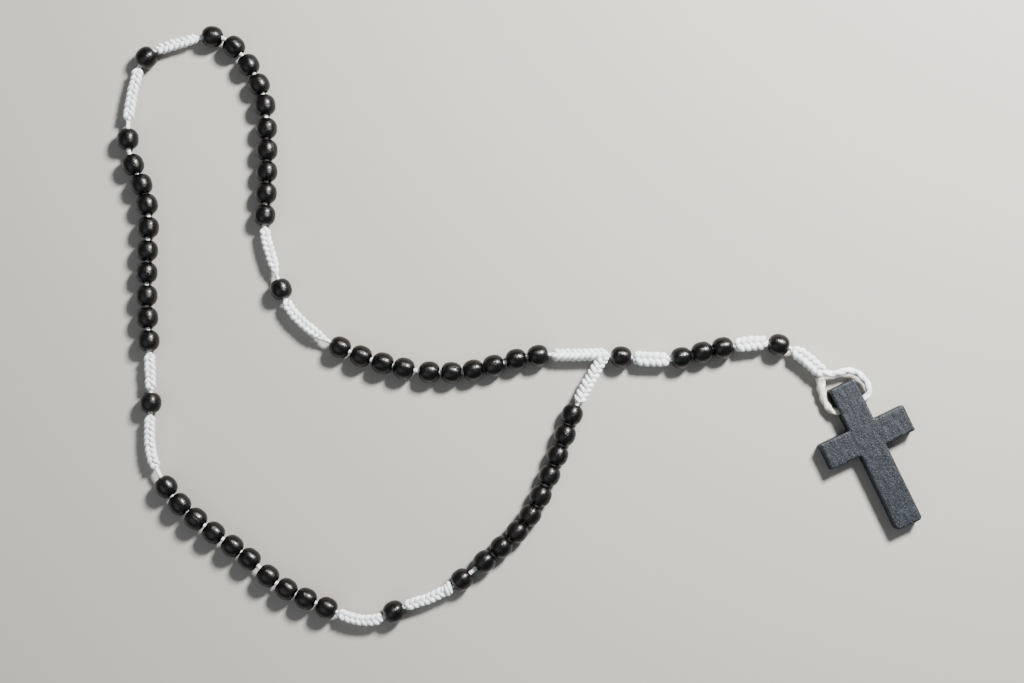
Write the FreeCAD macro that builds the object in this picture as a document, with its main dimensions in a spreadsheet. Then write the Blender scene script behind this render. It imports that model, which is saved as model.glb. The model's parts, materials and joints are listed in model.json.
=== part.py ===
import FreeCAD, Part
import Sketcher
import math
import os

# A wooden cord rosary laid flat on a table: five decades of beads on one knotted cord, a junction
# knot, a short tail with six single knots and beads, and a wooden cross on a cord loop.
# Millimetres, +Z up, the table is Z = 0, and the origin is below the middle of the whole outline.

# ---------------------------------------------------------------- driving dimensions

SIZES = {
    "bead_diameter": "6.1",
    "bead_length": "5.6",  # along the bore, so the beads are a little flat at the holes
    "bead_play": "0.1",  # bare cord that every bead has to itself, so that it never rubs the next one
    "bead_bore": "2.3",
    "cord_diameter": "1.3",
    "knot_diameter": "3.6",
    "knot_rounding": "1.1",
    "tail_knot_diameter": "4.4",
    "tail_knot_rounding": "1.5",
    "cord_tip_rounding": "0.5",
    "hinge_gap": "0.4",  # the cord's solid is parted by this much where it flexes
    "loop_strand": "2.0",
    "loop_tip_rounding": "0.6",
    "cross_length": "43.3",
    "cross_span": "26",
    "cross_arm": "7.9",
    "cross_thickness": "4.8",
    "crossbar_drop": "16.4",  # from the top of the cross to the middle of the crossbar
    "hole_drop": "6.7",  # from the top of the cross to the middle of the cord's hole
    "hole_diameter": "2.6",
    "cross_edge": "0.35",
    "cross_foot_rounding": "1.1",
    "cord_height": "=bead_diameter / 2",
    # The bead is a ball cut flat at both ends of its bore.
    "bead_flat_radius": "=sqrt(bead_diameter * bead_diameter - bead_length * bead_length) / 2",
}

# ---------------------------------------------------------------- the cord's two routes, seen from above

# The loop leaves the junction through knot 1, runs through decades 1 and 2, over the top, and comes
# back through decades 3, 4 and 5 to the junction.
LOOP_ROUTE = [
    (25.0, -8.5), (13.5, -9.0), (5.0, -8.5), (-4.5, -11.2), (-15.5, -14.0), (-28.5, -13.5),
    (-42.0, -10.0), (-52.5, -5.5), (-61.5, 1.0), (-65.5, 7.0), (-68.7, 17.5), (-71.5, 27.0),
    (-70.5, 37.0), (-70.5, 51.5), (-71.0, 62.5), (-73.5, 70.0), (-80.0, 79.0), (-85.5, 82.0),
    (-96.0, 79.4), (-106.0, 76.0), (-108.5, 66.0), (-110.0, 56.5), (-109.5, 47.0), (-105.0, 38.5),
    (-103.5, 31.0), (-104.0, 19.5), (-104.0, 5.5), (-103.0, -7.5), (-102.3, -21.5), (-103.0, -35.5),
    (-99.0, -44.0), (-95.0, -50.0), (-84.5, -58.5), (-74.0, -65.5), (-67.5, -72.5), (-56.0, -77.8),
    (-41.5, -84.0), (-31.5, -78.5), (-21.0, -75.5), (-8.0, -65.5), (3.5, -55.0), (11.5, -36.5),
    (16.5, -21.5), (24.0, -9.5),
]

# The tail leaves the junction and ends where its last knot lets out the two strands of the loop
# that holds the cross.
TAIL_ROUTE = [
    (21.6, -8.8), (29.5, -9.3), (37.0, -10.0), (45.0, -10.1), (52.5, -7.7), (60.5, -6.2),
    (68.0, -5.2), (74.5, -5.8), (80.5, -9.3), (85.5, -14.1),
]

# The loop through the cross, in the cross's own directions: across it, and up from its hole.
CROSS_LOOP_ROUTE = [
    (-4.0, 10.6), (-5.3, 7.6), (-5.9, 4.2), (-5.9, 0.0), (6.6, 0.0), (6.6, 4.9), (4.7, 8.9),
    (0.8, 9.5), (-2.0, 11.3),
]
CROSS_HOLE_AT = (93.3, -23.05)
CROSS_TURN = 25.5  # degrees that the cross lies turned from upright

# ---------------------------------------------------------------- what is on the cord, in order

# Each entry is what comes next and its length. "cord" is bare cord, "fold" is bare cord where the
# rosary flexes, and a bead entry names its node and gives the bare cord between its beads.
LOOP_THREADING = [
    ("knot", 15.6), ("fold", 0.8),
    ("decade_1_beads_1_2", 0.5), ("fold", 0.85),
    ("decade_1_beads_3_4", 0.15), ("cord", 0.5), ("decade_1_beads_5_6", 0.5), ("fold", 1.5),
    ("decade_1_beads_7_8", 0.4), ("cord", 0.7), ("decade_1_beads_9_10", 0.7), ("fold", 0.75),
    ("knot", 17.0), ("cord", 0.55), ("our_father_bead_1", None), ("fold", 0.7),
    ("knot", 14.5), ("fold", 0.65),
    ("decade_2_beads_1_2", 0.55), ("cord", 0.4), ("decade_2_beads_3_4", 0.4), ("cord", 0.45),
    ("decade_2_bead_5", None), ("fold", 0.95),
    ("decade_2_bead_6", None), ("cord", 0.5), ("decade_2_beads_7_8", 0.6), ("cord", 1.0),
    ("decade_2_bead_9", None), ("cord", 1.4), ("decade_2_bead_10", None), ("cord", 0.8),
    ("knot", 12.9), ("cord", 0.55), ("our_father_bead_2", None), ("cord", 0.9), ("knot", 15.2),
    ("fold", 2.4),
    ("decade_3_bead_1", None), ("cord", 1.8), ("decade_3_bead_2", None), ("cord", 0.45),
    ("decade_3_beads_3_4", 0.2), ("fold", 0.85),
    ("decade_3_beads_5_6", 0.85), ("cord", 0.5), ("decade_3_beads_7_8", 0.75), ("cord", 0.5),
    ("decade_3_beads_9_10", 0.75), ("fold", 0.65),
    ("knot", 10.5), ("cord", 0.55), ("our_father_bead_3", None), ("fold", 0.65),
    ("knot", 15.1), ("cord", 3.05),
    ("decade_4_beads_1_2", 0.5), ("cord", 0.4), ("decade_4_beads_3_4", 0.6), ("cord", 0.7),
    ("decade_4_beads_5_6", 0.3), ("fold", 1.3),
    ("decade_4_beads_7_8", 0.65), ("cord", 0.35), ("decade_4_beads_9_10", 0.6), ("cord", 0.55),
    ("knot", 13.3), ("cord", 0.5), ("our_father_bead_4", None), ("cord", 0.4), ("knot", 14.3),
    ("cord", 0.55), ("decade_5_bead_1", None), ("fold", 2.3),
    ("decade_5_beads_2_3", 0.45), ("cord", 0.4), ("decade_5_beads_4_5", 0.2), ("cord", 0.45),
    ("decade_5_beads_6_7", 0.5), ("cord", 0.3), ("decade_5_beads_8_9", 0.35), ("cord", 0.35),
    ("decade_5_bead_10", None), ("fold", 0.65),
    ("knot", 14.4),
]
TAIL_THREADING = [
    ("knot", 4.0), ("fold", 0.6), ("our_father_bead_5", None), ("fold", 0.7), ("knot", 9.8),
    ("fold", 0.75), ("tail_bead_1", None), ("cord", 0.35), ("tail_bead_2", None), ("cord", 0.2),
    ("tail_bead_3", None), ("fold", 0.6), ("knot", 8.9), ("fold", 0.6),
    ("our_father_bead_6", None), ("fold", 0.9), ("knot", 11.2),
]

# The lengths of cord between one fold and the next, in the same order. The junction takes the
# loop's first and last lengths and the tail's first one.
LOOP_CORDS = (
    ["junction"]
    + [f"inner_cord_{section}" for section in range(1, 7)]
    + ["top_cord"]
    + [f"outer_cord_{section}" for section in range(6, 0, -1)]
    + ["junction"]
)
TAIL_CORDS = [
    "junction", "tail_cord_1", "tail_knot_1", "tail_cord_2", "tail_knot_2", "tail_cord_3",
    "tail_knot_3",
]

doc = FreeCAD.newDocument("rosary")
sheet = doc.addObject("Spreadsheet::Sheet", "Sizes")
for row, (alias, value) in enumerate(SIZES.items(), start=1):
    sheet.set(f"A{row}", alias)
    sheet.set(f"B{row}", value)
    sheet.setAlias(f"B{row}", alias)
doc.recompute()


def size(alias):
    return float(sheet.get(alias))


# ---------------------------------------------------------------- routes


def rounded_route(points, height):
    """The edges of a route: straight runs joined by tangent arcs, each as large as its runs allow."""
    corners = [FreeCAD.Vector(x, y, height) for x, y in points]
    edges, radii = [], []
    here = corners[0]
    for before, corner, after in zip(corners, corners[1:], corners[2:]):
        back, ahead = before - corner, after - corner
        tangent = 0.45 * min(back.Length, ahead.Length)
        half_turn = (math.pi - back.getAngle(ahead)) / 2
        radii.append(tangent / math.tan(half_turn))
        back.normalize()
        ahead.normalize()
        start, end = corner + back * tangent, corner + ahead * tangent
        bisector = (back + ahead).normalize()
        centre = corner + bisector * math.hypot(radii[-1], tangent)
        middle = centre - bisector * radii[-1]
        edges.append(Part.LineSegment(here, start).toShape())
        edges.append(Part.Arc(start, middle, end).toShape())
        here = end
    edges.append(Part.LineSegment(here, corners[-1]).toShape())
    return edges, radii


def part_of(edge, start, stop):
    """The stretch of one edge between two distances along it."""
    curve = edge.Curve
    first = edge.getParameterByLength(start)
    last = edge.getParameterByLength(stop)
    return curve.toShape(first, last)


def stretch(edges, start, stop, straight):
    """The route's wire between two distances along it, its two ends straight for a given length."""
    shortest = 0.001
    kept, travelled = [], 0.0
    for edge in edges:
        low = max(start + straight - travelled, 0.0)
        high = min(stop - straight - travelled, edge.Length)
        if high - low > shortest:
            kept.append(part_of(edge, low, high))
        travelled += edge.Length
    first, last = kept[0], kept[-1]
    tail, tail_way = first.valueAt(first.FirstParameter), first.tangentAt(first.FirstParameter)
    head, head_way = last.valueAt(last.LastParameter), last.tangentAt(last.LastParameter)
    kept.insert(0, Part.LineSegment(tail - tail_way * straight, tail).toShape())
    kept.append(Part.LineSegment(head, head + head_way * straight).toShape())
    return Part.Wire(kept)


def place_at(edges, distance):
    """The point and direction of the route at a distance along it."""
    for edge in edges:
        if distance <= edge.Length:
            parameter = edge.getParameterByLength(distance)
            return edge.valueAt(parameter), edge.tangentAt(parameter)
        distance -= edge.Length
    return edges[-1].valueAt(edges[-1].LastParameter), edges[-1].tangentAt(edges[-1].LastParameter)


def bead_places(edges, middles):
    """The centres and the direction of one bore: a line midway between the cord's curve and its chord."""
    half, average = size("bead_length") / 2, sum(middles) / len(middles)
    start, _ = place_at(edges, middles[0] - half)
    end, _ = place_at(edges, middles[-1] + half)
    on_curve, _ = place_at(edges, average)
    centre = (on_curve + (start + end) / 2) / 2
    direction = (end - start).normalize()
    return [centre + direction * (middle - average) for middle in middles], direction


def read_threading(threading):
    """Where everything on a route lies: {bead node: its beads' middles}, the knots, the folds and the end."""
    beads, knots, folds, at = {}, [], [], 0.0
    for entry, length in threading:
        if entry == "knot":
            knots.append((at, at + length))
            at += length
        elif entry == "fold":
            folds.append(at + length / 2)
            at += length
        elif entry == "cord":
            at += length
        else:
            step = size("bead_length") + size("bead_play")
            beads[entry] = [at + step / 2]
            at += step
            if length is not None:
                beads[entry].append(at + length + step / 2)
                at += length + step
    return beads, knots, folds, at


# ---------------------------------------------------------------- beads


def bead_profile(sketch, middle):
    """Half of a bead's section, right of the bore's axis: bore wall, two flats and the outer arc."""
    bore, flat = size("bead_bore") / 2, size("bead_flat_radius")
    half, radius = size("bead_length") / 2, size("bead_diameter") / 2
    low, high = middle - half, middle + half
    corners = [(bore, low), (flat, low), (flat, high), (bore, high)]
    inner_low, outer_low, outer_high, inner_high = (FreeCAD.Vector(x, y, 0) for x, y in corners)
    bulge = math.atan2(half, flat)
    circle = Part.Circle(FreeCAD.Vector(0, middle, 0), FreeCAD.Vector(0, 0, 1), radius)
    first = sketch.GeometryCount
    wall, bottom, arc, top = range(first, first + 4)
    sketch.addGeometry(Part.LineSegment(inner_high, inner_low), False)
    sketch.addGeometry(Part.LineSegment(inner_low, outer_low), False)
    sketch.addGeometry(Part.ArcOfCircle(circle, -bulge, bulge), False)
    sketch.addGeometry(Part.LineSegment(outer_high, inner_high), False)
    start, end, centre, origin, upright_axis = 1, 2, 3, -1, -2
    for one, other in ((wall, bottom), (bottom, arc), (arc, top), (top, wall)):
        sketch.addConstraint(Sketcher.Constraint("Coincident", one, end, other, start))
    sketch.addConstraint(Sketcher.Constraint("Vertical", wall))
    sketch.addConstraint(Sketcher.Constraint("Horizontal", bottom))
    sketch.addConstraint(Sketcher.Constraint("Horizontal", top))
    sketch.addConstraint(Sketcher.Constraint("PointOnObject", arc, centre, upright_axis))
    bound = [
        ("DistanceX", (origin, start, wall, end, bore), "Sizes.bead_bore / 2"),
        ("DistanceX", (origin, start, arc, end, flat), "Sizes.bead_flat_radius"),
        ("DistanceY", (wall, end, wall, start, 2 * half), "Sizes.bead_length"),
        ("DistanceY", (origin, start, arc, centre, middle), f"{middle:.4f}"),
        ("Radius", (arc, radius), "Sizes.bead_diameter / 2"),
    ]
    for kind, what, formula in bound:
        index = sketch.addConstraint(Sketcher.Constraint(kind, *what))
        sketch.setExpression(f"Constraints[{index}]", formula)


def origin_plane(body, role):
    return next(feature for feature in body.Origin.OriginFeatures if feature.Role == role)


def bead_node(label, centres, direction):
    """One bead, or two on a common bore, turned about the axis that the cord follows through them."""
    body = doc.addObject("PartDesign::Body", label)
    body.AllowCompound = True
    middle = sum(centres, FreeCAD.Vector()) / len(centres)
    sketch = body.newObject("Sketcher::SketchObject", f"{label}_section")
    sketch.AttachmentSupport = [(origin_plane(body, "XZ_Plane"), "")]
    sketch.MapMode = "FlatFace"
    for centre in centres:
        bead_profile(sketch, (centre - middle).dot(direction))
    turned = body.newObject("PartDesign::Revolution", f"{label}_turned")
    turned.Profile = sketch
    turned.ReferenceAxis = (sketch, ["V_Axis"])
    turned.Angle = 360
    body.Placement = FreeCAD.Placement(middle, FreeCAD.Rotation(FreeCAD.Vector(0, 0, 1), direction))
    return body


# ---------------------------------------------------------------- cord and knots


def swept(label, wire, diameter_alias, rounding_alias):
    """A round solid along a wire, with the rims of its two end faces rounded."""
    spine = doc.addObject("Part::Feature", f"{label}_line")
    spine.Shape = wire
    first, last = wire.Edges[0], wire.Edges[-1]
    tips = [first.valueAt(first.FirstParameter), last.valueAt(last.LastParameter)]
    along = first.tangentAt(first.FirstParameter)
    circle = doc.addObject("Part::Circle", f"{label}_section")
    circle.setExpression("Radius", f"Sizes.{diameter_alias} / 2")
    circle.Placement = FreeCAD.Placement(tips[0], FreeCAD.Rotation(FreeCAD.Vector(0, 0, 1), along))
    tube = doc.addObject("Part::Sweep", f"{label}_tube")
    tube.Sections = [circle]
    tube.Spine = (spine, [f"Edge{number}" for number in range(1, len(wire.Edges) + 1)])
    tube.Solid = True
    tube.Frenet = False
    doc.recompute()
    full = math.pi * (size(diameter_alias) / 2) ** 2 * wire.Length
    if abs(tube.Shape.Volume / full - 1) > 0.01:
        raise RuntimeError(f"{label} is not a whole tube")
    radius, near = size(rounding_alias), 0.01
    rims = []
    for number, edge in enumerate(tube.Shape.Edges, start=1):
        round_edge = edge.isClosed() and hasattr(edge.Curve, "Center")
        if round_edge and min(edge.Curve.Center.distanceToPoint(tip) for tip in tips) < near:
            rims.append((number, radius, radius))
    if len(rims) != len(tips):
        raise RuntimeError(f"{label} has {len(rims)} rims to round")
    rounded = doc.addObject("Part::Fillet", label)
    rounded.Base = tube
    rounded.Edges = rims
    doc.recompute()
    return rounded


def cord_solids(solids, names, route, threading, knot):
    """Adds {node: its bare cord and its knots} for each length between one fold and the next."""
    _, knots, folds, end = threading
    gap = size("hinge_gap") / 2
    starts = [0.0] + [fold + gap for fold in folds]
    stops = [fold - gap for fold in folds] + [end]
    for name, start, stop in zip(names, starts, stops, strict=True):
        pieces = solids.setdefault(name, [])
        stem = f"{name}_{len(pieces)}"
        bare = stretch(route, start, stop, 1.1 * size("cord_tip_rounding"))
        pieces.append(swept(f"{stem}_cord", bare, "cord_diameter", "cord_tip_rounding"))
        for number, (first, last) in enumerate(knots):
            if start < (first + last) / 2 < stop:
                wound = stretch(route, first, last, 1.1 * size(f"{knot}_rounding"))
                pieces.append(swept(f"{stem}_{number}", wound, f"{knot}_diameter", f"{knot}_rounding"))


def joined(label, pieces):
    """The node's one solid, made of pieces that run into each other."""
    if len(pieces) == 1:
        pieces[0].Label = label
        return pieces[0]
    whole = doc.addObject("Part::MultiFuse", f"{label}_whole")
    whole.Shapes = pieces
    whole.Label = label
    doc.recompute()
    for piece in pieces:
        if piece.Shape.cut(whole.Shape).Volume > 0.01 * piece.Shape.Volume:
            raise RuntimeError(f"{piece.Name} is missing from {label}")
    return whole


# ---------------------------------------------------------------- the cross and its loop


def cross_place(height):
    """The cross's own directions, from its hole: X across it, Y up it, at a height above the table."""
    position = FreeCAD.Vector(*CROSS_HOLE_AT, height)
    return FreeCAD.Placement(position, FreeCAD.Rotation(FreeCAD.Vector(0, 0, 1), CROSS_TURN))


def wooden_cross():
    body = doc.addObject("PartDesign::Body", "wooden_cross")
    sketch = body.newObject("Sketcher::SketchObject", "cross_outline")
    sketch.AttachmentSupport = [(origin_plane(body, "XY_Plane"), "")]
    sketch.MapMode = "FlatFace"
    half_arm, half_span = size("cross_arm") / 2, size("cross_span") / 2
    top = size("hole_drop")
    foot = top - size("cross_length")
    bar = top - size("crossbar_drop")
    bar_top, bar_bottom = bar + half_arm, bar - half_arm
    right = [(half_arm, top), (half_arm, bar_top), (half_span, bar_top)]
    right += [(half_span, bar_bottom), (half_arm, bar_bottom), (half_arm, foot)]
    outline = right + [(-x, y) for x, y in reversed(right)]
    corners = [FreeCAD.Vector(x, y, 0) for x, y in outline]
    sides = len(corners)
    for one, other in zip(corners, corners[1:] + corners[:1]):
        sketch.addGeometry(Part.LineSegment(one, other), False)
    start, end, origin = 1, 2, -1
    for side in range(sides):
        after = (side + 1) % sides
        sketch.addConstraint(Sketcher.Constraint("Coincident", side, end, after, start))
        level = corners[side].y == corners[after].y
        sketch.addConstraint(Sketcher.Constraint("Horizontal" if level else "Vertical", side))
    # Sides 0 to 4 go down the right from the top, and sides 6 to 10 come back up the left.
    bound = [
        ("DistanceX", (origin, start, 0, start, half_arm), "Sizes.cross_arm / 2"),
        ("DistanceX", (11, start, 0, start, 2 * half_arm), "Sizes.cross_arm"),
        ("DistanceX", (origin, start, 2, start, half_span), "Sizes.cross_span / 2"),
        ("DistanceX", (9, start, 2, start, 2 * half_span), "Sizes.cross_span"),
        ("DistanceX", (origin, start, 4, end, half_arm), "Sizes.cross_arm / 2"),
        ("DistanceX", (6, start, 4, end, 2 * half_arm), "Sizes.cross_arm"),
        ("DistanceY", (origin, start, 0, start, top), "Sizes.hole_drop"),
        ("DistanceY", (4, end, 0, start, top - foot), "Sizes.cross_length"),
        ("DistanceY", (2, end, 2, start, 2 * half_arm), "Sizes.cross_arm"),
        ("DistanceY", (8, start, 8, end, 2 * half_arm), "Sizes.cross_arm"),
        ("DistanceY", (2, end, 0, start, top - bar_bottom), "Sizes.crossbar_drop + Sizes.cross_arm / 2"),
        ("DistanceY", (8, start, 0, start, top - bar_bottom), "Sizes.crossbar_drop + Sizes.cross_arm / 2"),
    ]
    for kind, what, formula in bound:
        index = sketch.addConstraint(Sketcher.Constraint(kind, *what))
        sketch.setExpression(f"Constraints[{index}]", formula)
    pad = body.newObject("PartDesign::Pad", "cross_pad")
    pad.Profile = sketch
    pad.setExpression("Length", "Sizes.cross_thickness")
    doc.recompute()
    solid_volume = pad.Shape.Volume

    hole_sketch = body.newObject("Sketcher::SketchObject", "cord_hole_section")
    hole_sketch.AttachmentSupport = [(origin_plane(body, "YZ_Plane"), "")]
    hole_sketch.MapMode = "FlatFace"
    middle = FreeCAD.Vector(0, size("cross_thickness") / 2, 0)
    hole_radius = size("hole_diameter") / 2
    hole_sketch.addGeometry(Part.Circle(middle, FreeCAD.Vector(0, 0, 1), hole_radius), False)
    hole_sketch.addConstraint(Sketcher.Constraint("PointOnObject", 0, 3, -2))
    across = Sketcher.Constraint("DistanceY", origin, start, 0, 3, middle.y)
    index = hole_sketch.addConstraint(across)
    hole_sketch.setExpression(f"Constraints[{index}]", "Sizes.cross_thickness / 2")
    index = hole_sketch.addConstraint(Sketcher.Constraint("Diameter", 0, 2 * hole_radius))
    hole_sketch.setExpression(f"Constraints[{index}]", "Sizes.hole_diameter")
    hole = body.newObject("PartDesign::Pocket", "cord_hole")
    hole.Profile = hole_sketch
    hole.Type = "ThroughAll"
    hole.Midplane = True
    doc.recompute()
    drilled = math.pi * hole_radius**2 * size("cross_arm")
    if abs((solid_volume - hole.Shape.Volume) / drilled - 1) > 0.01:
        raise RuntimeError("the cord's hole does not go through the cross's top arm only")

    foot_rounding = body.newObject("PartDesign::Fillet", "foot_rounding")
    upright = [
        f"Edge{number}"
        for number, edge in enumerate(hole.Shape.Edges, start=1)
        if abs(edge.BoundBox.ZLength - size("cross_thickness")) < 0.001 and edge.BoundBox.YMax < foot + 0.001
    ]
    foot_rounding.Base = (hole, upright)
    foot_rounding.setExpression("Radius", "Sizes.cross_foot_rounding")
    doc.recompute()
    edges = body.newObject("PartDesign::Fillet", "worn_edges")
    flat = [
        f"Face{number}"
        for number, face in enumerate(foot_rounding.Shape.Faces, start=1)
        if abs(face.normalAt(0, 0).z) > 0.99
    ]
    edges.Base = (foot_rounding, flat)
    edges.setExpression("Radius", "Sizes.cross_edge")
    body.Placement = cross_place(0.0)
    return body


def cross_loop():
    """The two strands that leave the last tail knot and meet in the cross's hole."""
    flat_place = cross_place(size("cross_thickness") / 2)
    points = [flat_place.multVec(FreeCAD.Vector(x, y, 0)) for x, y in CROSS_LOOP_ROUTE]
    edges, radii = rounded_route([(point.x, point.y) for point in points], size("cross_thickness") / 2)
    loop = swept("cross_loop", Part.Wire(edges), "loop_strand", "loop_tip_rounding")
    return loop, radii


# ---------------------------------------------------------------- the whole rosary

nodes = {}
cords = {}
for names, points, order, knot in (
    (LOOP_CORDS, LOOP_ROUTE, LOOP_THREADING, "knot"),
    (TAIL_CORDS, TAIL_ROUTE, TAIL_THREADING, "tail_knot"),
):
    route, radii = rounded_route(points, size("cord_height"))
    print("route length", round(sum(edge.Length for edge in route), 1))
    print("bend radii", [round(radius, 1) for radius in radii])
    threading = read_threading(order)
    print("threaded length", round(threading[-1], 1), "folds", [round(fold, 2) for fold in threading[2]])
    for label, middles in threading[0].items():
        nodes[label] = bead_node(label, *bead_places(route, middles))
    cord_solids(cords, names, route, threading, knot)
for label, pieces in cords.items():
    nodes[label] = joined(label, pieces)
nodes["wooden_cross"] = wooden_cross()
nodes["cross_loop"], loop_radii = cross_loop()
print("cross loop bend radii", [round(radius, 1) for radius in loop_radii])
doc.recompute()

failed = [thing.Name for thing in doc.Objects if "Invalid" in thing.State or "Error" in thing.State]
if failed:
    raise RuntimeError(f"these objects failed: {failed}")
os.makedirs("parts", exist_ok=True)
for label, node in nodes.items():
    shape = node.Shape
    if shape.isNull() or not shape.isValid() or not shape.Solids:
        raise RuntimeError(f"{label} has no valid solid")
    shape.exportStep(f"parts/{label}.step")
print(len(nodes), "nodes")
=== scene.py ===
import bisect
import json
import math
import random

import bpy
from mathutils import Matrix, Vector, noise


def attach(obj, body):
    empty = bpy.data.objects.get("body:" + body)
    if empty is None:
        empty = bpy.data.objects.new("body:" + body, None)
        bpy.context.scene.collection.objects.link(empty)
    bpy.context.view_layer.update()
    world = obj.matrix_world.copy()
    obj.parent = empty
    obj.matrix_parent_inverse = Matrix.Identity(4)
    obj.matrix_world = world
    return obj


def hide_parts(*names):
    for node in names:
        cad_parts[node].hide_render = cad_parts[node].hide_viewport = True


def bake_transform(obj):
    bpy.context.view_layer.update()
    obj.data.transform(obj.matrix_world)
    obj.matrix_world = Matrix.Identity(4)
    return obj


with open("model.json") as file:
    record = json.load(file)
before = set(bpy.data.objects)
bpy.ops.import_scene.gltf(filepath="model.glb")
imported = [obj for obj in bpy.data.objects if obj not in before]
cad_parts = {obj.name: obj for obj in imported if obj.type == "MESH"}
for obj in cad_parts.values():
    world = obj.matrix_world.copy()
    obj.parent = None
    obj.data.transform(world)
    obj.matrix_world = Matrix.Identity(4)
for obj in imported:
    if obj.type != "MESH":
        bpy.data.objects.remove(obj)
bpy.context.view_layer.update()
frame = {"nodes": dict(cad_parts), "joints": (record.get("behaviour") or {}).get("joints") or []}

# A wooden cord rosary laid flat: 59 black beads on a white cord with braided knots, and a cross.
# The route points and the threading are those of the CAD part, in millimetres.

MM = 0.001
RANDOM = random.Random(11)

CORD_HEIGHT = 3.05
BEAD_DIAMETER = 6.1
BEAD_LENGTH = 5.6
BEAD_PLAY = 0.1
CORD_DIAMETER = 1.3
FOLD_REACH = 0.9  # how far the piece of cord over a fold reaches to each side of it

LOOP_ROUTE = [
    (25.0, -8.5), (13.5, -9.0), (5.0, -8.5), (-4.5, -11.2), (-15.5, -14.0), (-28.5, -13.5),
    (-42.0, -10.0), (-52.5, -5.5), (-61.5, 1.0), (-65.5, 7.0), (-68.7, 17.5), (-71.5, 27.0),
    (-70.5, 37.0), (-70.5, 51.5), (-71.0, 62.5), (-73.5, 70.0), (-80.0, 79.0), (-85.5, 82.0),
    (-96.0, 79.4), (-106.0, 76.0), (-108.5, 66.0), (-110.0, 56.5), (-109.5, 47.0), (-105.0, 38.5),
    (-103.5, 31.0), (-104.0, 19.5), (-104.0, 5.5), (-103.0, -7.5), (-102.3, -21.5), (-103.0, -35.5),
    (-99.0, -44.0), (-95.0, -50.0), (-84.5, -58.5), (-74.0, -65.5), (-67.5, -72.5), (-56.0, -77.8),
    (-41.5, -84.0), (-31.5, -78.5), (-21.0, -75.5), (-8.0, -65.5), (3.5, -55.0), (11.5, -36.5),
    (16.5, -21.5), (24.0, -9.5),
]
TAIL_ROUTE = [
    (21.6, -8.8), (29.5, -9.3), (37.0, -10.0), (45.0, -10.1), (52.5, -7.7), (60.5, -6.2),
    (68.0, -5.2), (74.5, -5.8), (80.5, -9.3), (85.5, -14.1),
]

# Each entry is what comes next and its length; a bead entry gives the cord between its beads.
LOOP_THREADING = [
    ("knot", 15.6), ("fold", 0.8),
    ("decade_1_beads_1_2", 0.5), ("fold", 0.85),
    ("decade_1_beads_3_4", 0.15), ("cord", 0.5), ("decade_1_beads_5_6", 0.5), ("fold", 1.5),
    ("decade_1_beads_7_8", 0.4), ("cord", 0.7), ("decade_1_beads_9_10", 0.7), ("fold", 0.75),
    ("knot", 17.0), ("cord", 0.55), ("our_father_bead_1", None), ("fold", 0.7),
    ("knot", 14.5), ("fold", 0.65),
    ("decade_2_beads_1_2", 0.55), ("cord", 0.4), ("decade_2_beads_3_4", 0.4), ("cord", 0.45),
    ("decade_2_bead_5", None), ("fold", 0.95),
    ("decade_2_bead_6", None), ("cord", 0.5), ("decade_2_beads_7_8", 0.6), ("cord", 1.0),
    ("decade_2_bead_9", None), ("cord", 1.4), ("decade_2_bead_10", None), ("cord", 0.8),
    ("knot", 12.9), ("cord", 0.55), ("our_father_bead_2", None), ("cord", 0.9), ("knot", 15.2),
    ("fold", 2.4),
    ("decade_3_bead_1", None), ("cord", 1.8), ("decade_3_bead_2", None), ("cord", 0.45),
    ("decade_3_beads_3_4", 0.2), ("fold", 0.85),
    ("decade_3_beads_5_6", 0.85), ("cord", 0.5), ("decade_3_beads_7_8", 0.75), ("cord", 0.5),
    ("decade_3_beads_9_10", 0.75), ("fold", 0.65),
    ("knot", 10.5), ("cord", 0.55), ("our_father_bead_3", None), ("fold", 0.65),
    ("knot", 15.1), ("cord", 3.05),
    ("decade_4_beads_1_2", 0.5), ("cord", 0.4), ("decade_4_beads_3_4", 0.6), ("cord", 0.7),
    ("decade_4_beads_5_6", 0.3), ("fold", 1.3),
    ("decade_4_beads_7_8", 0.65), ("cord", 0.35), ("decade_4_beads_9_10", 0.6), ("cord", 0.55),
    ("knot", 13.3), ("cord", 0.5), ("our_father_bead_4", None), ("cord", 0.4), ("knot", 14.3),
    ("cord", 0.55), ("decade_5_bead_1", None), ("fold", 2.3),
    ("decade_5_beads_2_3", 0.45), ("cord", 0.4), ("decade_5_beads_4_5", 0.2), ("cord", 0.45),
    ("decade_5_beads_6_7", 0.5), ("cord", 0.3), ("decade_5_beads_8_9", 0.35), ("cord", 0.35),
    ("decade_5_bead_10", None), ("fold", 0.65),
    ("knot", 14.4),
]
TAIL_THREADING = [
    ("knot", 4.0), ("fold", 0.6), ("our_father_bead_5", None), ("fold", 0.7), ("knot", 9.8),
    ("fold", 0.75), ("tail_bead_1", None), ("cord", 0.35), ("tail_bead_2", None), ("cord", 0.2),
    ("tail_bead_3", None), ("fold", 0.6), ("knot", 8.9), ("fold", 0.6),
    ("our_father_bead_6", None), ("fold", 0.9), ("knot", 11.2),
]

# The lengths of cord between folds: (CAD node, the body it belongs to).
SECTIONS = range(1, 7)
LOOP_CORDS = (
    [("junction", "junction")]
    + [(f"inner_cord_{number}", f"section_{number}") for number in SECTIONS]
    + [("top_cord", "top_section")]
    + [(f"outer_cord_{number}", f"section_{number}") for number in reversed(SECTIONS)]
    + [("junction", "junction")]
)
TAIL_CORDS = [("junction", "junction")] + [
    (name, name)
    for name in (
        "tail_cord_1", "tail_knot_1", "tail_cord_2", "tail_knot_2", "tail_cord_3", "tail_knot_3",
    )
]

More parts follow.
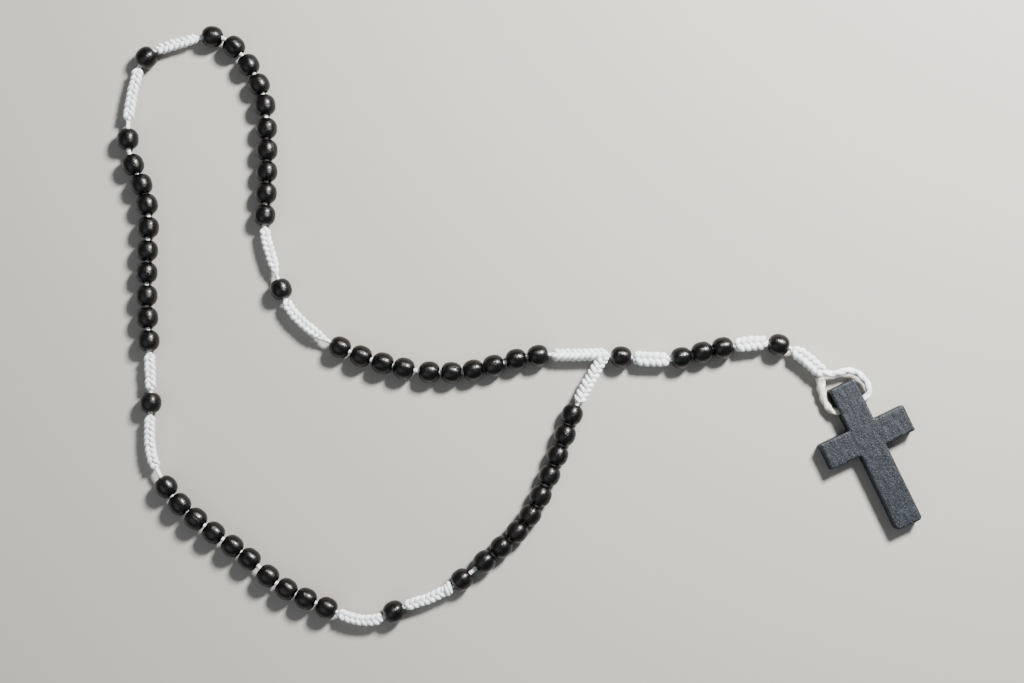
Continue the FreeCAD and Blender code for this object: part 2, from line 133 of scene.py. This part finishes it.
# The cross and its loop of cord, in the cross's own directions: across it, and up from its hole.
CROSS_HOLE_AT = (93.3, -23.05)
CROSS_TURN = 25.5
LEFT_STRAND = [
    (-4.2, 10.9, 2.6), (-5.4, 8.0, 1.9), (-5.9, 4.4, 1.7), (-5.6, 1.0, 2.2), (-3.4, 0.0, 2.4),
    (-1.5, 0.0, 2.4),
]
RIGHT_STRAND = [
    (-3.0, 11.6, 3.0), (-0.4, 9.9, 3.3), (2.6, 9.8, 3.2), (5.4, 8.2, 3.0), (6.9, 4.9, 2.7),
    (6.7, 1.2, 2.4), (4.0, 0.0, 2.4), (1.5, 0.0, 2.4),
]


# ---------------------------------------------------------------- materials


class Shader:
    """A node material with a Principled surface, built up node by node."""

    def __init__(self, name):
        self.material = bpy.data.materials.new(name)
        self.material.use_nodes = True
        self.tree = self.material.node_tree
        self.surface = self.tree.nodes["Principled BSDF"]
        self.place = self.add("ShaderNodeTexCoord").outputs

    def add(self, kind, **settings):
        made = self.tree.nodes.new(kind)
        for name, value in settings.items():
            setattr(made, name, value)
        return made

    def join(self, output, socket):
        self.tree.links.new(output, socket)

    def base(self, **values):
        for name, value in values.items():
            self.surface.inputs[name.replace("_", " ")].default_value = value

    def grain(self, where, scale, detail=3.0, stretch=(1, 1, 1)):
        """A noise pattern's output: its scale is in cells for each unit of where it is read."""
        mapping = self.add("ShaderNodeMapping")
        mapping.inputs["Scale"].default_value = stretch
        self.join(where, mapping.inputs["Vector"])
        texture = self.add("ShaderNodeTexNoise")
        texture.inputs["Scale"].default_value = scale
        texture.inputs["Detail"].default_value = detail
        self.join(mapping.outputs["Vector"], texture.inputs["Vector"])
        return texture.outputs["Fac"]

    def ramp(self, value, stops):
        """A colour ramp over a pattern: [(position, (r, g, b)), ...]."""
        made = self.add("ShaderNodeValToRGB")
        elements = made.color_ramp.elements
        while len(elements) < len(stops):
            elements.new(0.5)
        for element, (position, colour) in zip(elements, stops):
            element.position = position
            element.color = (*colour, 1)
        self.join(value, made.inputs["Fac"])
        return made.outputs["Color"]

    def bump(self, height, strength, depth, before=None):
        """A bump of this depth in millimetres, on top of the bump before it."""
        made = self.add("ShaderNodeBump")
        made.inputs["Strength"].default_value = strength
        made.inputs["Distance"].default_value = depth * MM
        self.join(height, made.inputs["Height"])
        if before:
            self.join(before, made.inputs["Normal"])
        return made.outputs["Normal"]


def cord_material(name, light, shade):
    """Spun cord, its colour between light and shade, with fine fibres at a slant round it."""
    shader = Shader(name)
    fibres = shader.add("ShaderNodeTexWave", wave_type="BANDS", bands_direction="DIAGONAL")
    fibres.inputs["Scale"].default_value = 1.0
    fibres.inputs["Distortion"].default_value = 1.2
    fibres.inputs["Detail"].default_value = 2.0
    shader.join(shader.place["UV"], fibres.inputs["Vector"])
    cloud = shader.grain(shader.place["Object"], scale=600, detail=4)
    tint = shader.ramp(cloud, [(0.30, shade), (0.62, light)])
    shader.join(tint, shader.surface.inputs["Base Color"])
    slant = shader.bump(fibres.outputs["Fac"], strength=0.35, depth=0.10)
    hairs = shader.grain(shader.place["Object"], scale=5200, detail=3)
    fuzz = shader.bump(hairs, strength=0.35, depth=0.10, before=slant)
    shader.join(fuzz, shader.surface.inputs["Normal"])
    shader.base(Roughness=0.82, Specular_IOR_Level=0.25, Sheen_Weight=0.35, Sheen_Roughness=0.5)
    shader.base(Subsurface_Weight=0.15, Subsurface_Scale=0.0006)
    return shader.material


def bead_material():
    """Wood under black lacquer: glossy, a little uneven, with worn brown-black patches."""
    shader = Shader("black_lacquered_wood")
    patches = shader.grain(shader.place["Object"], scale=420, detail=5)
    blacks = [
        (0.40, (0.002, 0.002, 0.002)), (0.64, (0.006, 0.004, 0.004)), (0.80, (0.022, 0.010, 0.008)),
    ]
    tint = shader.ramp(patches, blacks)
    shader.join(tint, shader.surface.inputs["Base Color"])
    smears = shader.grain(shader.place["Object"], scale=900, detail=4)
    gloss = shader.ramp(smears, [(0.3, (0.24,) * 3), (0.75, (0.44,) * 3)])
    shader.join(gloss, shader.surface.inputs["Roughness"])
    fibres = shader.grain(shader.place["UV"], scale=2.2, detail=4, stretch=(3.2, 4.0, 1))
    grain = shader.bump(fibres, strength=0.55, depth=0.16)
    nicks = shader.grain(shader.place["Object"], scale=1500, detail=2)
    dents = shader.bump(nicks, strength=0.25, depth=0.10, before=grain)
    shader.join(dents, shader.surface.inputs["Normal"])
    shader.base(Coat_Weight=0.30, Coat_Roughness=0.17, Specular_IOR_Level=0.42)
    return shader.material


def cross_material():
    """Dull black stain on wood, with grain along the cross, pale dust, and rims made paler, partly
    as wear and partly as a painted highlight.
    """
    shader = Shader("stained_cross_wood")
    grain = shader.grain(shader.place["UV"], scale=900, detail=6, stretch=(1.0, 0.3, 1.0))
    dust = shader.grain(shader.place["UV"], scale=2600, detail=5)
    body = shader.ramp(grain, [(0.34, (0.004, 0.006, 0.009)), (0.70, (0.015, 0.020, 0.029))])
    specks = shader.ramp(dust, [(0.54, (0.0, 0.0, 0.0)), (0.70, (0.075, 0.092, 0.118))])
    both = shader.add("ShaderNodeMix", data_type="RGBA", blend_type="ADD")
    both.inputs["Factor"].default_value = 0.8
    colours = [socket for socket in both.inputs if socket.type == "RGBA"]
    shader.join(body, colours[0])
    shader.join(specks, colours[1])
    mixed = next(socket for socket in both.outputs if socket.type == "RGBA")
    # Convex rims are made paler: partly wear, partly a painted highlight along the edges.
    wear_and_highlight_mix = shader.add("ShaderNodeMix", data_type="RGBA")
    rims = shader.add("ShaderNodeNewGeometry").outputs["Pointiness"]
    rims_wear_and_painted_highlight = shader.ramp(rims, [(0.53, (0.0,) * 3), (0.60, (0.55,) * 3)])
    shader.join(rims_wear_and_painted_highlight, wear_and_highlight_mix.inputs["Factor"])
    under, over = [socket for socket in wear_and_highlight_mix.inputs if socket.type == "RGBA"]
    shader.join(mixed, under)
    # The pale rim colour, part wear and part painted highlight.
    over.default_value = (0.085, 0.095, 0.110, 1)
    finish = next(socket for socket in wear_and_highlight_mix.outputs if socket.type == "RGBA")
    shader.join(finish, shader.surface.inputs["Base Color"])
    gloss = shader.ramp(dust, [(0.35, (0.42,) * 3), (0.70, (0.66,) * 3)])
    shader.join(gloss, shader.surface.inputs["Roughness"])
    coarse = shader.bump(grain, strength=0.5, depth=0.25)
    fine = shader.bump(dust, strength=0.45, depth=0.18, before=coarse)
    shader.join(fine, shader.surface.inputs["Normal"])
    shader.base(Specular_IOR_Level=0.55)
    return shader.material


def floor_material():
    shader = Shader("pale_floor")
    shader.base(Base_Color=(0.40, 0.385, 0.36, 1), Roughness=0.9)
    return shader.material


CORD = cord_material("white_cord", (0.84, 0.87, 0.87), (0.62, 0.67, 0.70))
# A darker, browner copy of the white cord: painted shade, tinted brown as a painted reflection, for
# the cross loop's left strand, which runs low in the cross's shadow.
PAINTED_SHADE_CORD = cord_material("white_cord_with_painted_shade", (0.76, 0.76, 0.70), (0.46, 0.40, 0.30))
BEAD = bead_material()
CROSS = cross_material()


# ---------------------------------------------------------------- lines and tubes


class Line:
    """A cord's line through the given points of its route, read from one NURBS spline."""

    def __init__(self, name, points):
        curve = bpy.data.curves.new(name, "CURVE")
        curve.dimensions = "3D"
        spline = curve.splines.new("NURBS")
        spline.points.add(len(points) - 1)
        for place, (x, y, z) in zip(spline.points, points):
            place.co = (x * MM, y * MM, z * MM, 1)
        spline.order_u = 3
        spline.use_endpoint_u = True
        spline.resolution_u = 32
        drawn = bpy.data.objects.new(name, curve)
        bpy.context.scene.collection.objects.link(drawn)
        mesh = bpy.data.meshes.new_from_object(drawn)
        self.points = [vertex.co.copy() for vertex in mesh.vertices]
        bpy.data.meshes.remove(mesh)
        bpy.data.objects.remove(drawn)
        bpy.data.curves.remove(curve)
        self.travelled = [0.0]
        for one, two in zip(self.points, self.points[1:]):
            self.travelled.append(self.travelled[-1] + (two - one).length)
        self.length = self.travelled[-1]

    def at(self, distance):
        """The point and direction at a distance along the line, or straight on past its ends."""
        index = bisect.bisect_right(self.travelled, distance) - 1
        index = min(max(index, 0), len(self.points) - 2)
        one, two = self.points[index], self.points[index + 1]
        way = (two - one).normalized()
        return one + way * (distance - self.travelled[index]), way

    def nearest(self, point):
        """How far along the line its nearest point to this one is."""
        best = min(
            range(len(self.points) - 1),
            key=lambda index: (self.points[index] - point).length_squared,
        )
        place, way = self.at(self.travelled[best])
        return self.travelled[best] + (point - place).dot(way)


WAVE_LENGTH = math.pi / 5  # of the wave texture's bands, in its own coordinates
FIBRES_ROUND = 12
FIBRE_TURN = 7.0  # millimetres of cord in which a fibre winds once round it


def tube(name, places, radii, sides, material, lobes=0, lobe_depth=0.0, twist_pitch=1.0):
    """A closed tube through places, with a radius at each, and if wanted twisted lobes round it."""
    vertices, faces, corners = [], [], []
    travelled = 0.0
    for index, (place, radius) in enumerate(zip(places, radii)):
        before = places[max(index - 1, 0)]
        after = places[min(index + 1, len(places) - 1)]
        way = (after - before).normalized()
        across = way.cross(Vector((0, 0, 1))).normalized()
        above = way.cross(across)
        if index:
            travelled += (place - places[index - 1]).length
        for side in range(sides):
            angle = 2 * math.pi * side / sides
            wave = math.cos(lobes * angle - 2 * math.pi * travelled / twist_pitch)
            reach = radius * (1 + lobe_depth * (wave - 1)) if lobes else radius
            turned = across * math.cos(angle) + above * math.sin(angle)
            vertices.append(place + turned * reach)
        corners.append(travelled)
    rings = len(places)
    for ring in range(rings - 1):
        for side in range(sides):
            here, there = ring * sides, (ring + 1) * sides
            ahead = (side + 1) % sides
            faces.append((here + side, here + ahead, there + ahead, there + side))
    faces.append(tuple(reversed(range(sides))))
    faces.append(tuple((rings - 1) * sides + side for side in range(sides)))
    mesh = bpy.data.meshes.new(name)
    mesh.from_pydata(vertices, [], faces)
    unwrap = mesh.uv_layers.new(name="along")
    around = FIBRES_ROUND * WAVE_LENGTH
    along = around / (FIBRE_TURN * MM)
    for polygon in mesh.polygons:
        closes_the_round = polygon.index % sides == sides - 1
        for corner in polygon.loop_indices:
            ring, side = divmod(mesh.loops[corner].vertex_index, sides)
            if closes_the_round and side == 0:
                side = sides
            unwrap.data[corner].uv = (corners[ring] * along, around * side / sides)
    return finished(name, mesh, material)


def finished(name, mesh, material):
    """A smooth-shaded object of this mesh and material, in the scene."""
    mesh.shade_smooth()
    mesh.materials.append(material)
    made = bpy.data.objects.new(name, mesh)
    bpy.context.scene.collection.objects.link(made)
    return made


def joined(name, pieces):
    """One object made of several, their materials kept."""
    first = pieces[0]
    with bpy.context.temp_override(
        active_object=first, selected_objects=pieces, selected_editable_objects=pieces
    ):
        bpy.ops.object.join()
    first.name = name
    return first


# ---------------------------------------------------------------- what is on the two lines


loop = Line("loop_line", [(x, y, CORD_HEIGHT) for x, y in LOOP_ROUTE])
tail = Line("tail_line", [(x, y, CORD_HEIGHT) for x, y in TAIL_ROUTE])
spins = {
    joint["child"]: joint for joint in frame["joints"] if joint["name"].endswith("_spin")
}


def bead_middles(node):
    """The middles of a node's beads, and the direction of their bore."""
    joint = spins[node]
    middle, way = Vector(joint["pos_m"]), Vector(joint["axis"]).normalized()
    reach = max((vertex.co - middle).dot(way) for vertex in frame["nodes"][node].data.vertices)
    apart = reach - BEAD_LENGTH / 2 * MM
    if apart < BEAD_LENGTH / 4 * MM:
        return [middle], way
    return [middle - way * apart, middle + way * apart], way


def stations(line, threading):
    """Where each knot and fold lies on the line, fitted between the beads of the CAD part."""
    travelled, known, knots, folds = 0.0, [(0.0, 0.0)], [], []
    for entry, length in threading:
        if entry == "knot":
            knots.append((travelled, travelled + length * MM))
        elif entry == "fold":
            folds.append(travelled + length * MM / 2)
        elif entry != "cord":
            middles, _ = bead_middles(entry)
            at = sorted(line.nearest(middle) for middle in middles)
            step = (BEAD_LENGTH + BEAD_PLAY) * MM
            for index, place in enumerate(at):
                threaded = travelled + step / 2 + index * (step + (length or 0) * MM)
                known.append((threaded, place))
            travelled += len(at) * step + (length or 0) * MM
            continue
        travelled += length * MM
    known.append((travelled, line.length))

    def fitted(distance):
        index = bisect.bisect_right([threaded for threaded, _ in known], distance) - 1
        index = min(max(index, 0), len(known) - 2)
        (low, start), (high, stop) = known[index], known[index + 1]
        return start + (stop - start) * (distance - low) / (high - low)

    return [(fitted(low), fitted(high)) for low, high in knots], [fitted(at) for at in folds]


loop_knots, loop_folds = stations(loop, LOOP_THREADING)
tail_knots, tail_folds = stations(tail, TAIL_THREADING)


# ---------------------------------------------------------------- bare cord

CORD_STEP = 0.28
CORD_SIDES = 16
CORD_STRANDS = 3
LAY_PITCH = 3.4
LAY_DEPTH = 0.10  # of the hollows between the laid strands, as a share of the cord's radius


def cord_length(name, line, start, stop):
    """A stretch of the cord as a laid three-strand tube, and the points that it follows."""
    count = max(3, round((stop - start) / (CORD_STEP * MM)))
    places = [line.at(start + (stop - start) * index / count)[0] for index in range(count + 1)]
    radii = [CORD_DIAMETER / 2 * MM] * len(places)
    made = tube(name, places, radii, CORD_SIDES, CORD, CORD_STRANDS, LAY_DEPTH, LAY_PITCH * MM)
    return made, places


def lay_cord(prefix, line, folds, cords):
    """All the cord of one line: a piece for each CAD length, and a piece over each fold, left on no
    body.
    """
    edges = [0.0] + folds + [line.length]
    pieces = []
    for number, (node, body) in enumerate(cords):
        start = edges[number] + (FOLD_REACH * MM if number else 0)
        stop = edges[number + 1] - (FOLD_REACH * MM if number < len(folds) else 0)
        name = f"{prefix}_yarn_{number}"
        piece, places = cord_length(name, line, start, stop)
        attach(piece, body)
        pieces.append((node, piece))
    for number, fold in enumerate(folds):
        reach = FOLD_REACH * MM
        bend, places = cord_length(f"{prefix}_bend_{number + 1}", line, fold - reach, fold + reach)
        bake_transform(bend)
    return pieces


cord_pieces = lay_cord("loop", loop, loop_folds, LOOP_CORDS)
cord_pieces += lay_cord("tail", tail, tail_folds, TAIL_CORDS)
stand_ins = {}
for node, piece in cord_pieces:
    stand_ins.setdefault(node, piece)
for node, piece in stand_ins.items():
    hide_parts(node)


# ---------------------------------------------------------------- braided knots

PLAIT_STEP = 0.157  # of the knot's length, from one ring of a strand to the next
PLAIT_SIDES = 12
PLAIT_STRANDS = 3
KNOT_ENDS = (1.2, 1.2)  # how long a knot takes to open up from the cord, and to close on it
CLOSED_STRAND = 0.56  # a strand's width where the knot is closed, as a share of its full width
UNEVEN_PHASE = 0.12  # radians
UNEVEN_SCALE = 400  # cells a metre of the noise that makes a braid uneven
UNEVEN_WIDTH, UNEVEN_HEIGHT, UNEVEN_STRAND = 0.10, 0.08, 0.07
NEXT_STRAND = 7.3  # how far off in the noise the next strand is

KNOB_KNOT = 8  # the knot that ends in a small round knob beside the fifth decade
KNOB_TURNS = 1.7
KNOB_STEPS = 40
KNOB_RING = 1.35
KNOB_TAPER = 0.25  # how much smaller its turns are at both ends, as a share of KNOB_RING
KNOB_LEAN = 0.5
KNOB_ADVANCE = 1.5  # how far its turns run along the cord
KNOB_STRAND = 1.3
KNOB_FROM_END = 1.1


def plait(name, line, start, stop, strand, wide, high, period, roll=0.0, ease=KNOT_ENDS):
    """A braid of three strands round the line: sizes in millimetres, roll in degrees."""
    pieces = []
    length = stop - start
    count = round(length / (PLAIT_STEP * MM))
    roll = math.radians(roll)
    for number in range(PLAIT_STRANDS):
        phase = 2 * math.pi * number / PLAIT_STRANDS + RANDOM.uniform(-UNEVEN_PHASE, UNEVEN_PHASE)
        places, radii = [], []
        for index in range(count + 1):
            run = length * index / count
            middle, way = line.at(start + run)
            across = Vector((-way.y, way.x, 0)).normalized()
            above = Vector((0, 0, 1))
            turn = 2 * math.pi * run / (period * MM) + phase
            apart = Vector((number * NEXT_STRAND, 0, 0))
            lump = noise.noise(middle * UNEVEN_SCALE + apart)
            near_start = min(run / (ease[0] * MM), 1.0)
            near_stop = min((length - run) / (ease[1] * MM), 1.0)
            open_up = math.sin(math.pi / 2 * min(near_start, near_stop))
            side = wide * (1 + UNEVEN_WIDTH * lump) * math.sin(turn) * open_up * MM
            lift = high * (1 + UNEVEN_HEIGHT * lump) * math.sin(2 * turn) * open_up * MM
            across_turned = across * math.cos(roll) + above * math.sin(roll)
            above_turned = above * math.cos(roll) - across * math.sin(roll)
            places.append(middle + across_turned * side + above_turned * lift)
            full = CLOSED_STRAND + (1 - CLOSED_STRAND) * open_up
            radii.append(strand / 2 * MM * full * (1 + UNEVEN_STRAND * lump))
        pieces.append(tube(f"{name}_strand_{number}", places, radii, PLAIT_SIDES, CORD))
    return joined(name, pieces)


def knob(name, line, at):
    """A small overhand knob: a strand wound round the line, leaning over it."""
    middle, way = line.at(at)
    across = Vector((-way.y, way.x, 0)).normalized()
    places = []
    for index in range(KNOB_STEPS + 1):
        share = index / KNOB_STEPS
        angle = 2 * math.pi * KNOB_TURNS * share
        reach = KNOB_RING * (1 - KNOB_TAPER + KNOB_TAPER * math.sin(math.pi * share))
        round_it = across * math.cos(angle) + Vector((0, 0, 1)) * math.sin(angle)
        lean = way * (KNOB_LEAN * math.cos(angle) + KNOB_ADVANCE * (share - 0.5))
        places.append(middle + (round_it * reach + lean) * MM)
    return tube(name, places, [KNOB_STRAND / 2 * MM] * len(places), PLAIT_SIDES, CORD)


def body_at(distance, folds, cords):
    """The body that carries the cord at a distance along its line."""
    return cords[bisect.bisect_left(folds, distance)][1]


# Each kind of knot, in millimetres: its strands, their swing out and up, and the braid's period.
LOOP_KNOT = {"strand": 1.36, "wide": 0.92, "high": 0.66, "period": 4.7}
JUNCTION_KNOT = {"strand": 1.45, "wide": 1.05, "high": 0.72, "period": 4.7}
TAIL_KNOT = {"strand": 1.75, "wide": 1.25, "high": 0.85, "period": 5.2}
JUNCTION_ROLL = 35.0  # degrees
LAST_TAIL_KNOT_ENDS = (2.4, 1.2)  # slow to open, to stay clear of the bead when the tail bends
THIN_END = 5.5  # how long the knots that run out into a thin strand take to do so
LOOP_KNOT_ENDS = {
    0: (0.6, 1.2),
    1: (THIN_END, 1.2),
    2: (THIN_END, 1.2),
    3: (2.4, 1.2),
    8: (1.2, 3.2),
    9: (1.2, 0.6),
}

for number, (start, stop) in enumerate(loop_knots):
    eases = LOOP_KNOT_ENDS.get(number, KNOT_ENDS)
    at_junction = number in (0, len(loop_knots) - 1)
    shape = JUNCTION_KNOT if at_junction else LOOP_KNOT
    roll = JUNCTION_ROLL if at_junction else 0.0
    knot = plait(f"loop_braid_{number + 1}", loop, start, stop, ease=eases, roll=roll, **shape)
    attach(knot, body_at((start + stop) / 2, loop_folds, LOOP_CORDS))

knob_at = loop_knots[KNOB_KNOT][1] - KNOB_FROM_END * MM
knob_piece = knob("loop_knob", loop, knob_at)
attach(knob_piece, body_at(knob_at, loop_folds, LOOP_CORDS))

for number, (start, stop) in enumerate(tail_knots):
    shape = TAIL_KNOT if number else JUNCTION_KNOT
    name = f"tail_braid_{number}" if number else "junction_braid"
    eases = LAST_TAIL_KNOT_ENDS if number == len(tail_knots) - 1 else KNOT_ENDS
    knot = plait(name, tail, start, stop, ease=eases, **shape)
    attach(knot, body_at((start + stop) / 2, tail_folds, TAIL_CORDS))


# ---------------------------------------------------------------- beads

BEAD_SEGMENTS = 48
BEAD_RINGS = 24
BEAD_FULLNESS = 2.3  # the power of the outline's curve: 2 is a ball, and more is squarer
BEAD_HALF = 2.84
FLAT_RADIUS = 1.42
BORE_RADIUS = 1.12
RIM_DEPTH = 0.14  # how far the bore's worn rim reaches into it
RIM_BEND = 0.3  # how far out and in the bend of the rim is, as a share of its depth
BORE_DEPTH = 2.2
SLIMMEST, FULLEST = 0.985, 1.005
LUMP_DEPTH = 0.018  # as a share of the bead
LUMP_SCALE = 0.55  # cells a millimetre
NOISE_ROOM = 50  # how wide a part of the noise the beads' own places are drawn from


def bead_outline():
    """Half of a bead's section as (radius, height) in millimetres: the outside, then the bore."""
    widest = BEAD_DIAMETER / 2
    shortfall = 1 - (FLAT_RADIUS / widest) ** BEAD_FULLNESS
    pole = BEAD_HALF / shortfall ** (1 / BEAD_FULLNESS)
    outline = []
    for step in range(BEAD_RINGS + 1):
        height = BEAD_HALF * math.cos(math.pi * step / BEAD_RINGS)
        radius = widest * (1 - (abs(height) / pole) ** BEAD_FULLNESS) ** (1 / BEAD_FULLNESS)
        outline.append((radius, height))
    bend = RIM_DEPTH * RIM_BEND
    lower = [(BORE_RADIUS + bend, -BEAD_HALF + bend), (BORE_RADIUS, -BEAD_HALF + RIM_DEPTH)]
    upper = [(radius, -height) for radius, height in reversed(lower)]
    walls = [(BORE_RADIUS, -BORE_DEPTH), (BORE_RADIUS, BORE_DEPTH)]
    return outline + lower + walls + upper


def bead(name, centre, way):
    """One bead lathed about its bore, a little uneven and turned at random."""
    outline = bead_outline()
    vertices, faces = [], []
    seed = Vector([RANDOM.uniform(0, NOISE_ROOM) for _ in range(3)])
    slim = RANDOM.uniform(SLIMMEST, FULLEST)
    for segment in range(BEAD_SEGMENTS):
        angle = 2 * math.pi * segment / BEAD_SEGMENTS
        for radius, height in outline:
            spot = Vector((radius * math.cos(angle), radius * math.sin(angle), height))
            lump = LUMP_DEPTH * noise.noise(spot * LUMP_SCALE + seed)
            vertices.append(spot * (slim - abs(lump)) * MM)
    count = len(outline)
    for segment in range(BEAD_SEGMENTS):
        here, there = segment * count, (segment + 1) % BEAD_SEGMENTS * count
        for row in range(count):
            ahead = (row + 1) % count
            faces.append((here + row, here + ahead, there + ahead, there + row))
    mesh = bpy.data.meshes.new(name)
    mesh.from_pydata(vertices, [], faces)
    unwrap = mesh.uv_layers.new(name="along")
    for polygon in mesh.polygons:
        for corner in polygon.loop_indices:
            segment, row = divmod(mesh.loops[corner].vertex_index, count)
            unwrap.data[corner].uv = (outline[row][1] + seed.x, segment / BEAD_SEGMENTS)
    turn = Matrix.Rotation(RANDOM.uniform(0, 2 * math.pi), 4, "Z")
    stand = Vector((0, 0, 1)).rotation_difference(way).to_matrix().to_4x4()
    mesh.transform(Matrix.Translation(centre) @ stand @ turn)
    return finished(name, mesh, BEAD)


for node, joint in spins.items():
    middles, way = bead_middles(node)
    turned = [bead(f"{node}_wood_{number}", middle, way) for number, middle in enumerate(middles)]
    piece = joined(f"{node}_wood", turned) if len(turned) > 1 else turned[0]
    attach(piece, joint["child"])
    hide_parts(node)


# ---------------------------------------------------------------- the cross and its loop

CROSS_CORD_LAY_DEPTH = 0.12
CROSS_CORD_LAY_PITCH = 3.0
CROSS_VOXEL = 0.26  # of the mesh that the worn cross is cut from
SOFTENING = 0.5
SOFTENING_ROUNDS = 5
GRAIN_ACROSS, GRAIN_ALONG = 1.1, 0.22  # cells of the wood's grain a millimetre
DENT_SCALE, PIT_SCALE = 0.55, 1.6  # cells a millimetre
PIT_THRESHOLD = 0.35
WEAR_DEPTH, GRAIN_DEPTH, DENT_DEPTH, PIT_DEPTH = 0.05, 0.03, 0.04, 0.16
DENTS_APART = (9, 4, 2)  # keeps the dents' noise off that of the pits
SIDE_SLANT, END_SLANT = 0.7, 0.3  # how fast the grain's pattern runs down the sides and the ends

cross_from_own = (
    Matrix.Translation((CROSS_HOLE_AT[0], CROSS_HOLE_AT[1], 0))
    @ Matrix.Rotation(math.radians(CROSS_TURN), 4, "Z")
)


def in_room(points):
    return [tuple(cross_from_own @ Vector(point)) for point in points]


def strand(name, points, start_width, end_width, material):
    """One strand of the cross's loop, from the last knot to the hole, twisted like the cord."""
    line = Line(name, in_room(points))
    count = round(line.length / (CORD_STEP * MM))
    places = [line.at(line.length * index / count)[0] for index in range(count + 1)]
    widths = [
        start_width + (end_width - start_width) * index / count for index in range(count + 1)
    ]
    radii = [width / 2 * MM for width in widths]
    lay = (CORD_STRANDS, CROSS_CORD_LAY_DEPTH, CROSS_CORD_LAY_PITCH * MM)
    return tube(name, places, radii, CORD_SIDES, material, *lay)


right = strand(
    "cross_loop_right", RIGHT_STRAND, start_width=2.1, end_width=1.9, material=CORD
)
# The left strand is drawn in the cord with painted shade and a brown painted reflection.
left = strand(
    "cross_loop_left", LEFT_STRAND, start_width=2.8, end_width=2.1, material=PAINTED_SHADE_CORD
)
for piece in (right, left):
    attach(piece, "cross_loop")
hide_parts("cross_loop")


def worn_cross():
    """The CAD cross with softened edges, shallow dents and a grain that runs along it."""
    source = frame["nodes"]["wooden_cross"]
    mesh = source.data.copy()
    made = bpy.data.objects.new("cross_wood", mesh)
    bpy.context.scene.collection.objects.link(made)
    rebuilt = made.modifiers.new("rebuilt", "REMESH")
    rebuilt.mode = "VOXEL"
    rebuilt.voxel_size = CROSS_VOXEL * MM
    softened = made.modifiers.new("softened", "SMOOTH")
    softened.factor = SOFTENING
    softened.iterations = SOFTENING_ROUNDS
    bpy.context.view_layer.update()
    ready = made.evaluated_get(bpy.context.evaluated_depsgraph_get())
    worn = bpy.data.meshes.new_from_object(ready)
    bpy.data.objects.remove(made)
    own_from_room = cross_from_own.inverted()
    for vertex in worn.vertices:
        own = own_from_room @ (vertex.co / MM)
        stretched = (own.x * GRAIN_ACROSS, own.y * GRAIN_ALONG, own.z * GRAIN_ACROSS)
        long_grain = noise.noise(Vector(stretched))
        dents = noise.noise(own * DENT_SCALE + Vector(DENTS_APART))
        pits = max(0.0, noise.noise(own * PIT_SCALE) - PIT_THRESHOLD)
        depth = WEAR_DEPTH + GRAIN_DEPTH * long_grain + DENT_DEPTH * dents + PIT_DEPTH * pits
        vertex.co -= vertex.normal * max(depth, 0.0) * MM
    unwrap = worn.uv_layers.new(name="along")
    for polygon in worn.polygons:
        for corner in polygon.loop_indices:
            own = own_from_room @ (worn.vertices[worn.loops[corner].vertex_index].co / MM)
            across, along = own.x + own.z * SIDE_SLANT, own.y + own.z * END_SLANT
            unwrap.data[corner].uv = (across * MM, along * MM)
    worn.materials.clear()
    return finished("cross_wood", worn, CROSS)


cross = worn_cross()
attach(cross, "wooden_cross")
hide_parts("wooden_cross")


# ---------------------------------------------------------------- floor, light and camera

FLOOR_HALF = 3.0  # metres


def floor():
    half = FLOOR_HALF
    mesh = bpy.data.meshes.new("floor")
    corners = [(-half, -half, 0), (half, -half, 0), (half, half, 0), (-half, half, 0)]
    mesh.from_pydata(corners, [], [(0, 1, 2, 3)])
    mesh.materials.append(floor_material())
    made = bpy.data.objects.new("floor", mesh)
    bpy.context.scene.collection.objects.link(made)


def area_light(name, at, size, power, colour):
    """A round light at a place in metres, aimed at the middle of the rosary."""
    data = bpy.data.lights.new(name, "AREA")
    data.shape = "DISK"
    data.size = size
    data.energy = power
    data.color = colour
    made = bpy.data.objects.new(name, data)
    made.location = at
    aim = (-Vector(at)).to_track_quat("-Z", "Y")
    made.rotation_euler = aim.to_euler()
    bpy.context.scene.collection.objects.link(made)


floor()
area_light("key", at=(0.26, 0.30, 0.40), size=0.13, power=9.0, colour=(1.0, 0.98, 0.95))
area_light("fill", at=(-0.35, -0.30, 0.55), size=0.60, power=0.8, colour=(0.92, 0.96, 1.0))

world = bpy.data.worlds.new("soft_daylight")
world.use_nodes = True
world.node_tree.nodes["Background"].inputs["Color"].default_value = (0.90, 0.94, 1.0, 1)
world.node_tree.nodes["Background"].inputs["Strength"].default_value = 0.24
bpy.context.scene.world = world

CAMERA_TARGET = (-1.5, -5.0, 3.0)
CAMERA_DISTANCE = 477.87
CAMERA_TILT = 3.0
lens = bpy.data.cameras.new("camera")
lens.lens = 60
lens.sensor_width = 36
lens.clip_start = 0.01
camera = bpy.data.objects.new("camera", lens)
tilt = math.radians(CAMERA_TILT)
backwards = Vector((0, -math.sin(tilt), math.cos(tilt)))
camera.location = (Vector(CAMERA_TARGET) + backwards * CAMERA_DISTANCE) * MM
camera.rotation_euler = (tilt, 0, 0)
bpy.context.scene.collection.objects.link(camera)
bpy.context.scene.camera = camera

bpy.context.scene.view_settings.look = "AgX - Medium High Contrast"
